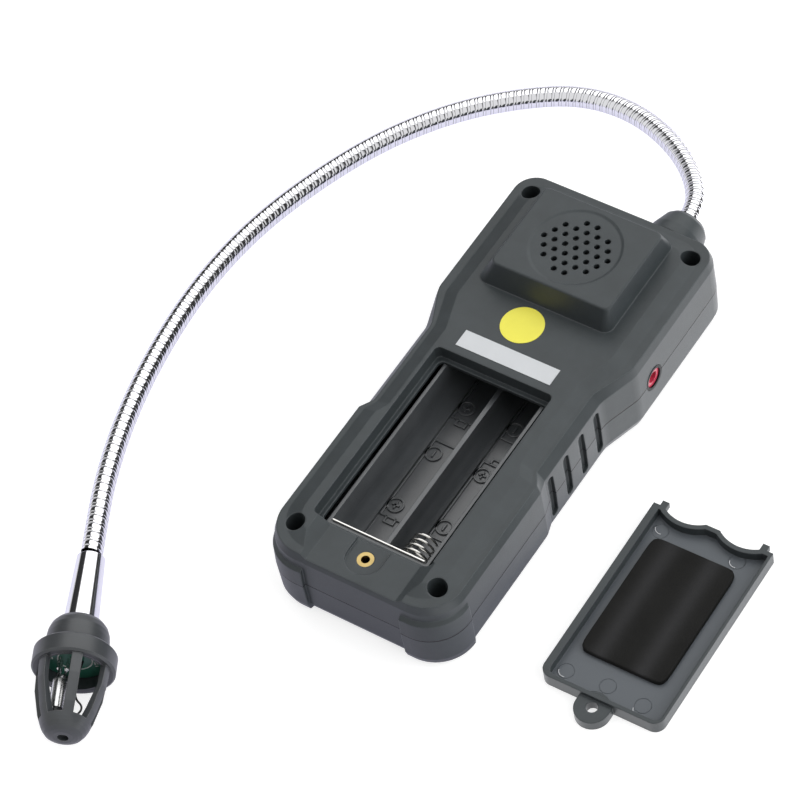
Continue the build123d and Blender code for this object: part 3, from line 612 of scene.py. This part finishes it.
def turned_screw(low, high, pitch, profile, columns):
    """An upright skin that winds as a screw does: the radius at height z and angle a is the profile's at the
    fractional part of z over the pitch, less a over a full circle. Its faces look to the axis, as the
    thread of a hole does."""
    heights, radii = np.asarray(profile, float).T
    count = len(heights)
    turns = int((high - low) / pitch) - 1
    turn = np.repeat(np.arange(turns), count) + np.tile(heights, turns)
    angle = np.linspace(0, 2 * np.pi, columns, endpoint=False)
    rise = low + pitch * (turn[:, None] + angle[None, :] / (2 * np.pi))
    radius = np.tile(radii, turns)[:, None]
    points = np.stack([radius * np.cos(angle), radius * np.sin(angle), rise], axis=-1).reshape(-1, 3)
    return points, winding_faces(len(turn), count, columns)


thread_points, thread_faces = turned_screw(
    insert_low.z, insert_high.z, thread_pitch, [(0.0, thread_root), (0.5, thread_crest)], columns=32
)
insert_middle = 0.5 * (insert_low + insert_high)
thread_points += (insert_middle.x, insert_middle.y, 0)
thread = mesh_piece("insert_thread", thread_points, thread_faces, brass)
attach(thread, "housing")


# Speaker.
# A small round speaker behind the grille: pressed steel basket, black film cone, steel pot magnet.

pressed_steel = metal("pressed_steel", (0.45, 0.45, 0.46), 0.35)
dress(pressed_steel, "speaker_frame", "speaker_magnet")
film_black = moulded("cone_film", (0.02, 0.02, 0.02), (0.03, 0.03, 0.03), 0.5, radius=0.1)
dress(film_black, "speaker_cone")


# Sticker and label.
# Self-adhesive films on the back: a round yellow inspection sticker and a white strip, both left bare.

sticker_film = moulded(
    "sticker_film", (0.93, 0.86, 0.09), (0.95, 0.9, 0.3), 0.35,
    grain=1.2, bump=0.003, radius=0.05, cloud=0.03,
)
dress(sticker_film, "round_sticker")
label_film = moulded(
    "label_film", (0.66, 0.68, 0.7), (0.6, 0.6, 0.6), 0.45,
    grain=0.5, bump=0.003, radius=0.05, cloud=0.03,
)
dress(label_film, "paper_label")


# Earphone socket.
# A pink glossy socket barrel in a black ring, set in the right-hand side wall.

jack_plastic = moulded("jack_pink", (0.62, 0.05, 0.1), (0.7, 0.2, 0.22), 0.25, bump=0.002, radius=0.15)
dress(jack_plastic, "earphone_jack")
ring_plastic = moulded(
    "ring_black", (0.006, 0.006, 0.007), (0.03, 0.03, 0.03), 0.5, bump=0.002, radius=0.2, gloss=0.2
)
dress(ring_plastic, "jack_ring")


# Gooseneck.
# A flexible neck wound from a round and a wedge-shaped steel wire and chrome plated: broad bright turns,
# each with a fine lap line and a narrow dark valley. It keeps the bend that it is given.

neck_radius = 0.00318
valley_depth = 0.00012
lap_depth = 0.00007
turn_near = 0.0022
turn_far = 0.0029
neck_route = [
    (14.8, 74.0, 15.5), (14.8, 87.5, 15.4), (6.8, 99.8, 13.2), (-6.6, 110.2, 10.8), (-24.0, 116.8, 9.0),
    (-41.8, 116.0, 8.2), (-57.8, 106.9, 8.0), (-73.0, 93.2, 8.1), (-86.2, 74.6, 8.0), (-95.6, 52.6, 8.1),
    (-102.6, 27.6, 8.0), (-104.2, 2.6, 8.4), (-101.6, -22.2, 9.0), (-96.2, -46.2, 9.8), (-88.0, -68.6, 10.8),
]
head_front = np.array((-0.0572, -0.1272, 0.01175))
head_turn = math.radians(27.9)
head_axis = np.array((math.sin(head_turn), -math.cos(head_turn), 0.0))
neck_tail = -0.0372
tail_before = 0.009
tail_after = 0.004
neck_controls = [tuple(0.001 * value for value in point) for point in neck_route]
neck_controls += [tuple(head_front + head_axis * (neck_tail + step)) for step in (-tail_before, tail_after)]


def smooth_line(name, points, steps=24):
    """Points of a smooth open spline of order 3 that has the route's points as its control points."""
    curve = bpy.data.curves.new(name, "CURVE")
    curve.dimensions = "3D"
    curve.resolution_u = steps
    spline = curve.splines.new("NURBS")
    spline.points.add(len(points) - 1)
    spline.points.foreach_set("co", np.column_stack([points, np.ones(len(points))]).ravel())
    spline.order_u = 3
    spline.use_endpoint_u = True
    holder = bpy.data.objects.new(name, curve)
    mesh = bpy.data.meshes.new_from_object(holder)
    line = np.zeros(len(mesh.vertices) * 3)
    mesh.vertices.foreach_get("co", line)
    bpy.data.objects.remove(holder)
    bpy.data.curves.remove(curve)
    bpy.data.meshes.remove(mesh)
    return line.reshape(-1, 3)


def evenly(line, count):
    """The same line with count points at equal distances."""
    runs = np.linalg.norm(np.diff(line, axis=0), axis=1)
    along = np.concatenate([[0], np.cumsum(runs)])
    even = np.linspace(0, along[-1], count)
    return np.column_stack([np.interp(even, along, line[:, axis]) for axis in range(3)])


def carried(line):
    """Side and rise at each point of a line, square to it; the rise stays as near to upright as it can."""
    tangent = np.gradient(line, axis=0)
    tangent /= np.linalg.norm(tangent, axis=1, keepdims=True)
    side = np.cross(tangent, (0, 0, 1))
    side /= np.linalg.norm(side, axis=1, keepdims=True)
    return side, np.cross(side, tangent)


def wound(line, pitch_near, pitch_far, profile, columns):
    """A skin that winds along a line as a screw does. The profile gives heights over one turn, from 0 to 1,
    the radius there, and how much painted shade lies there, darkening the valley and the lap line. A point
    of the skin is at angle a round the line and at turn t along it, where t is the number of the turn, plus
    the height in the profile, plus a over a full circle. Turn t lies at the distance where the pitch, which
    grows evenly from near to far, has been laid t times."""
    runs = np.linalg.norm(np.diff(line, axis=0), axis=1)
    along = np.concatenate([[0], np.cumsum(runs)])
    length = along[-1]
    turn_at = along / pitch_near - (1 / pitch_near - 1 / pitch_far) * along**2 / (2 * length)
    turns = int(turn_at[-1]) - 1
    heights, radii, crease_shade = np.asarray(profile, float).T
    count = len(heights)
    turn = np.repeat(np.arange(turns), count) + np.tile(heights, turns)
    radius = np.tile(radii, turns)
    angle = np.linspace(0, 2 * np.pi, columns, endpoint=False)
    at_turn = turn[:, None] + angle[None, :] / (2 * np.pi)
    at_length = np.interp(at_turn, turn_at, along)
    middle, across, above = (
        np.stack([np.interp(at_length, along, field[:, axis]) for axis in range(3)], axis=-1)
        for field in (line, *carried(line))
    )
    round_line = np.cos(angle)[:, None] * across + np.sin(angle)[:, None] * above
    places = middle + radius[:, None, None] * round_line
    faces = winding_faces(len(turn), count, columns)
    return places.reshape(-1, 3), faces, np.repeat(np.tile(crease_shade, turns), columns)


def marked(piece, name, values):
    """A value at each point of the mesh, for its material to read."""
    field = piece.data.attributes.new(name, "FLOAT", "POINT")
    field.data.foreach_set("value", np.asarray(values, np.float32))


crown = 0.00002
valley_shade_share = 0.7
lap_shade_share = 0.6
neck_profile = [
    (0.0, neck_radius - valley_depth, valley_shade_share),
    (0.03, neck_radius - valley_depth, valley_shade_share),
    (0.07, neck_radius - 2 * crown, 0),
    (0.16, neck_radius - crown, 0),
    (0.4, neck_radius, 0),
    (0.62, neck_radius - 1.5 * crown, 0),
    (0.65, neck_radius - lap_depth, lap_shade_share),
    (0.67, neck_radius - lap_depth, lap_shade_share),
    (0.71, neck_radius - 1.5 * crown, 0),
    (0.96, neck_radius - 2 * crown, 0),
]
# Painted shade: the valleys and lap lines of the winding are painted dark, where shade falls in the grooves.
crease_shade_colour = (0.1, 0.1, 0.11)
neck_rows = 3000
chrome = metal("neck_chrome", (0.86, 0.86, 0.89), 0.09, cloud=0.05, bump=0.001)
valley = put(chrome.node_tree, "ShaderNodeAttribute", (-500, 500), attribute_name="valley")
painted(chrome, valley.outputs["Fac"], crease_shade_colour)
neck_line = evenly(smooth_line("neck_line", neck_controls), neck_rows)
neck_points, neck_faces, neck_valleys = wound(neck_line, turn_near, turn_far, neck_profile, columns=32)
neck = mesh_piece("chrome_gooseneck", neck_points, neck_faces, chrome)
marked(neck, "valley", neck_valleys)
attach(neck, "housing")
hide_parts("gooseneck")
dress(chrome, "neck_ferrule")


# Sensor head.
# A black nylon dome screwed to a flange with a cage of six ribs. Inside stand a green board, a pale
# ring and the metal can of the sensor, soldered to three leads; a sleeved wire runs on to the nose.

# The pale edge colour paints highlights along the flange's rim and the ribs, as well as rubbed wear.
head_plastic = moulded(
    "head_plastic", (0.045, 0.049, 0.053), (0.22, 0.23, 0.235), 0.36,
    bump=0.008, radius=0.3, edge_wear_and_highlight_share=0.6, gloss=0.6,
)
dress(head_plastic, "head_cap", "head_cage")
board_resist = moulded("board_green", (0.02, 0.14, 0.09), (0.1, 0.25, 0.18), 0.3, bump=0.004, radius=0.1)
dress(board_resist, "sensor_board", "main_board")
ring_resin = moulded("socket_white", (0.72, 0.72, 0.7), (0.8, 0.8, 0.8), 0.5, bump=0.004, radius=0.2)
dress(ring_resin, "sensor_socket")
can_metal = metal("can_silver", (0.72, 0.72, 0.72), 0.25)
dress(can_metal, "sensor_can", "sensor_base")

board_face = -4.0
can_axis = (-3.0, 0.3)
can_nose = 12.8
lead_radius = 0.2
sleeve_radius = 0.3
solder_radius = 0.55
solder_spread = 0.09
tip_power = 30
tip_share = 0.9999
lead_routes = (
    ([(-4.2, 0.3, -4.1), (-4.9, 0.8, -2.4), (-3.7, 0.2, -0.6), (-4.5, 0.5, 1.3), (-4.1, 0.3, 3.6)], 0.42),
    ([(-1.0, 1.5, -4.1), (-0.6, 1.2, -2.0), (-1.9, 0.9, 0.0), (-1.9, 1.3, 2.0), (-2.4, 1.2, 3.6)], 0.5),
    ([(-2.8, -1.7, -4.1), (-2.0, -1.3, -1.8), (-3.0, -0.9, 1.2), (-2.6, -0.7, 3.6)], 0.66),
)
sleeve_route = [
    (2.2, -0.6, -4.1), (1.0, -0.4, 2.5), (1.6, 0.0, 8.6),
    (4.2, 0.0, 11.0), (3.4, 0.0, 13.6), (0.8, 0.2, 15.4),
]
collar_span = (can_nose - 0.1, can_nose + 1.5)
collar_radii = (0.9, 2.1)
collar_round = 4
head_frame = np.array([
    (math.cos(head_turn), math.sin(head_turn), 0.0),
    (0.0, 0.0, 1.0),
    (math.sin(head_turn), -math.cos(head_turn), 0.0),
])


def in_head(points):
    """Points in millimetres along the head's width, height and axis, carried to their place in metres."""
    return head_front + 0.001 * np.asarray(points, float) @ head_frame


def tube_faces(rows, columns, ring=False):
    """Quads of a grid of rows by columns whose columns close on themselves. In a ring the rows do too."""
    row, column = np.meshgrid(np.arange(rows if ring else rows - 1), np.arange(columns), indexing="ij")
    below = (row + 1) % rows
    beside = (column + 1) % columns
    quads = [
        row * columns + column, below * columns + column,
        below * columns + beside, row * columns + beside,
    ]
    return np.stack(quads, axis=-1).reshape(-1, 4)


def capped_tube(grid):
    """Points and faces of a tube from its grid of rows by an even number of columns. Each end is closed by
    quads that take two of its sides and meet in its middle."""
    rows, columns = grid.shape[:2]
    points = np.vstack([grid.reshape(-1, 3), grid[0].mean(axis=0), grid[-1].mean(axis=0)])
    first = np.arange(0, columns, 2)
    second = first + 1
    third = (first + 2) % columns
    middle = np.full(len(first), rows * columns)
    last = (rows - 1) * columns
    start_cap = np.column_stack([first, second, third, middle])
    end_cap = np.column_stack([last + third, last + second, last + first, middle + 1])
    return points, np.vstack([tube_faces(rows, columns), start_cap, end_cap])


def wire(route, radius, joint=None, rows=90, columns=12):
    """A round skin along a smooth line through the head. A point of it lies at angle a round the line. Its
    distance is the wire's radius, plus a bell curve where a drop of solder sits, and it falls to almost
    nothing at the tips, as the square root of one less a high power of the way to them."""
    line = evenly(smooth_line("wire_line", in_head(route)), rows)
    share = np.linspace(0, 1, rows)
    width = np.full(rows, radius)
    if joint is not None:
        width += solder_radius * np.exp(-(((share - joint) / solder_spread) ** 2))
    width *= np.sqrt(1 - tip_share * (2 * share - 1) ** tip_power)
    side, rise = carried(line)
    angle = np.linspace(0, 2 * np.pi, columns, endpoint=False)
    ring = np.cos(angle)[None, :, None] * side[:, None, :] + np.sin(angle)[None, :, None] * rise[:, None, :]
    return capped_tube(line[:, None, :] + 0.001 * width[:, None, None] * ring)


def collar(middle, low, high, inner, outer, rows=24, columns=40):
    """A ring with rounded corners round the head's axis. Its section is a superellipse: the shares of its
    half width and of its half height, each to the same power, add up to one."""
    angle = np.linspace(0, 2 * np.pi, columns, endpoint=False)
    turn = np.linspace(0, 2 * np.pi, rows, endpoint=False)
    cosine, sine = np.cos(turn), np.sin(turn)
    reach = (np.abs(cosine) ** collar_round + np.abs(sine) ** collar_round) ** (-1 / collar_round)
    radius = 0.5 * (inner + outer) + 0.5 * (outer - inner) * reach * cosine
    along = 0.5 * (low + high) + 0.5 * (high - low) * reach * sine
    points = np.stack([
        middle[0] + radius[:, None] * np.cos(angle),
        middle[1] + radius[:, None] * np.sin(angle),
        np.repeat(along[:, None], columns, axis=1),
    ], axis=-1).reshape(-1, 3)
    return in_head(points), tube_faces(rows, columns, ring=True)[:, ::-1]


leads = [wire(route, lead_radius, joint) for route, joint in lead_routes]
set_piece("sensor_leads", together(leads), can_metal, scale=1, smooth=True)
sleeve_black = moulded(
    "sleeve_black", (0.012, 0.012, 0.013), (0.04, 0.04, 0.04), 0.35, bump=0.002, radius=0.1
)
sleeve = [wire(sleeve_route, sleeve_radius), collar(can_axis, *collar_span, *collar_radii)]
set_piece("sensor_sleeves", together(sleeve), sleeve_black, scale=1, smooth=True)

print_line = 0.4
print_low, print_high = board_face - 0.02, board_face + 0.05
print_paths = (
    [(-7.0, 0.3), (-7.0, 1.7)], [(-6.3, 0.2), (-6.3, 1.2)], [(-6.9, 2.4), (-6.2, 2.4)],
    [(5.2, -1.3), (5.2, -2.7)], [(5.9, -1.2), (5.9, -2.4)], [(5.1, -3.4), (5.9, -3.2)],
)
prints = [band(path, False, print_line, print_low, print_high) for path in print_paths]
print_points, print_faces = together(prints)
set_piece("board_print", (in_head(print_points), print_faces), ring_resin, scale=1)


# Battery cover.
# The lid lies beside the housing with its inner side up. A strip of black foam glued inside presses
# the cells into the tray.

cover_skin = 1.5
skin_half = 0.1
skin_colour = (0.1, 0.112, 0.125)
cover_edge_wear_and_highlight = (0.1, 0.11, 0.118)
looks_up = 0.9
cover_plastic = moulded(
    "cover_plastic", housing_colour, cover_edge_wear_and_highlight, housing_roughness, radius=0.4, gloss=housing_gloss
)
banded(cover_plastic, cover_skin, skin_half, skin_colour, least_rise=looks_up)
dress(cover_plastic, "battery_cover")

ejector_radius = 2.35
ejector_places = ((57.2, -58.0), (69.7, -56.8), (81.2, -57.7), (80.3, -5.5), (56.6, -6.4))
ejector_line = 0.16
ejector_top = cover_skin + 0.07
# Painted glints: low pale glossy crescents on the near edges of some ejector rings, painted in for the
# highlights that light draws there.
glint_places = ((57.2, -58.0), (81.2, -59.0), (80.3, -5.5), (56.6, -5.4))
glint_radius = ejector_radius - 0.3
glint_span = (math.radians(195), math.radians(285), 14)
glint_line = 0.22
glint_top = cover_skin + 0.16
lid_mark_root = cover_skin - 0.05
rings = [
    band(arc(x, y, ejector_radius), True, ejector_line, lid_mark_root, ejector_top)
    for x, y in ejector_places
]
set_piece("ejector_marks", together(rings), cover_plastic)
glint_paint = moulded(
    "painted_glint", (0.55, 0.56, 0.58), (0.8, 0.8, 0.8), 0.2, bump=0.002, radius=0.1, gloss=0.9
)
glint_arcs = [
    band(arc(x, y, glint_radius, *glint_span), False, glint_line, lid_mark_root, glint_top)
    for x, y in glint_places
]
set_piece("painted_glints", together(glint_arcs), glint_paint)

pad_low, pad_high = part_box("cover_foam_pad")
pad_turn = math.radians(0.6)
pad_half = (13.1, 20.6)
pad_shift = 0.5
pad_top = 1.7
pad_crown = 0.12
pad_edge = 0.35
pad_power = 16
pad_start = 0.02
dent_places = (-6.9, 6.1)
dent_width = 2.6
dent_depth = 0.3
dent_fade = 0.12


def foam_pad(columns=160, top_rows=30, edge_rows=6):
    """A low pad with rounded corners. Its outline is a superellipse: |x / half width| and |y / half length|,
    each to a high power, add up to one. From the middle to the rim the top falls by the crown, then by a
    quarter circle at the edge; along two cells it is pressed in by a bell curve across the width."""
    angle = np.linspace(0, 2 * np.pi, columns, endpoint=False)
    outward = np.column_stack([pad_half[1] * np.cos(angle), pad_half[0] * np.sin(angle)])
    rim = outward * ((np.abs(outward / pad_half) ** pad_power).sum(axis=1) ** (-1 / pad_power))[:, None]
    inset = 1 - pad_edge / pad_half[0]
    across = np.linspace(pad_start, 1.0, top_rows)
    bend = np.linspace(0, np.pi / 2, edge_rows + 1)[1:]
    floor = np.array([1.0, 0.5, pad_start])
    share = np.concatenate([across * inset, inset + (1 - inset) * np.sin(bend), floor])
    height = np.concatenate(
        [pad_top - pad_crown * across**2, pad_top - pad_crown - pad_edge * (1 - np.cos(bend)), 0 * floor]
    )
    plan = share[:, None, None] * rim[None, :, :]
    rise = np.repeat(height[:, None], columns, axis=1)
    dent = sum(np.exp(-(((plan[:, :, 0] - place) / dent_width) ** 2)) for place in dent_places)
    above = np.arange(len(share)) < len(share) - len(floor)
    rise = rise - dent_depth * dent * (above * np.clip((1 - share) / dent_fade, 0, 1))[:, None]
    x = plan[:, :, 0] * math.cos(pad_turn) - plan[:, :, 1] * math.sin(pad_turn)
    y = plan[:, :, 0] * math.sin(pad_turn) + plan[:, :, 1] * math.cos(pad_turn)
    return *capped_tube(np.stack([x, y, rise], axis=-1)), dent


foam_black = moulded(
    "foam_black", (0.013, 0.013, 0.0125), (0.02, 0.02, 0.02), 0.95,
    grain=0.35, bump=0.1, radius=0.4, gloss=0.25,
)
# Painted sheen: where the foam is pressed in, its colour is painted lighter, as light glancing off the
# dents.
dent_sheen_colour = (0.032, 0.032, 0.033)
pressed = put(foam_black.node_tree, "ShaderNodeAttribute", (-500, 500), attribute_name="pressed")
painted(foam_black, pressed.outputs["Fac"], dent_sheen_colour)

pad_points, pad_faces, pad_pressed = foam_pad()
pad_middle = 500 * (pad_low + pad_high)
pad_points += (pad_middle.x, pad_middle.y + pad_shift, 1000 * pad_low.z)
foam = mesh_piece("foam_pad", 0.001 * pad_points, pad_faces, foam_black)
marked(foam, "pressed", np.append(np.clip(pad_pressed, 0, 1).ravel(), [0, 0]))
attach(foam, "housing")
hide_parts("cover_foam_pad")


# Front.
# The side that lies on the table: a smoked window with red level lamps behind it and three rubber keys.

smoked = moulded("window_smoke", (0.3, 0.3, 0.32), (0.4, 0.4, 0.42), 0.08, bump=0.001, radius=0.2)
smoked.node_tree.nodes["Principled BSDF"].inputs["Transmission Weight"].default_value = 0.9
dress(smoked, "led_window")
lamp_red = moulded("lamp_red", (0.6, 0.05, 0.04), (0.7, 0.1, 0.1), 0.2, bump=0.001, radius=0.1)
dress(lamp_red, "indicator_leds")
key_rubber = moulded("key_rubber", (0.12, 0.13, 0.14), (0.2, 0.2, 0.2), 0.7, bump=0.01, radius=0.3)
dress(key_rubber, "power_button", "sensitivity_button", "mute_button")
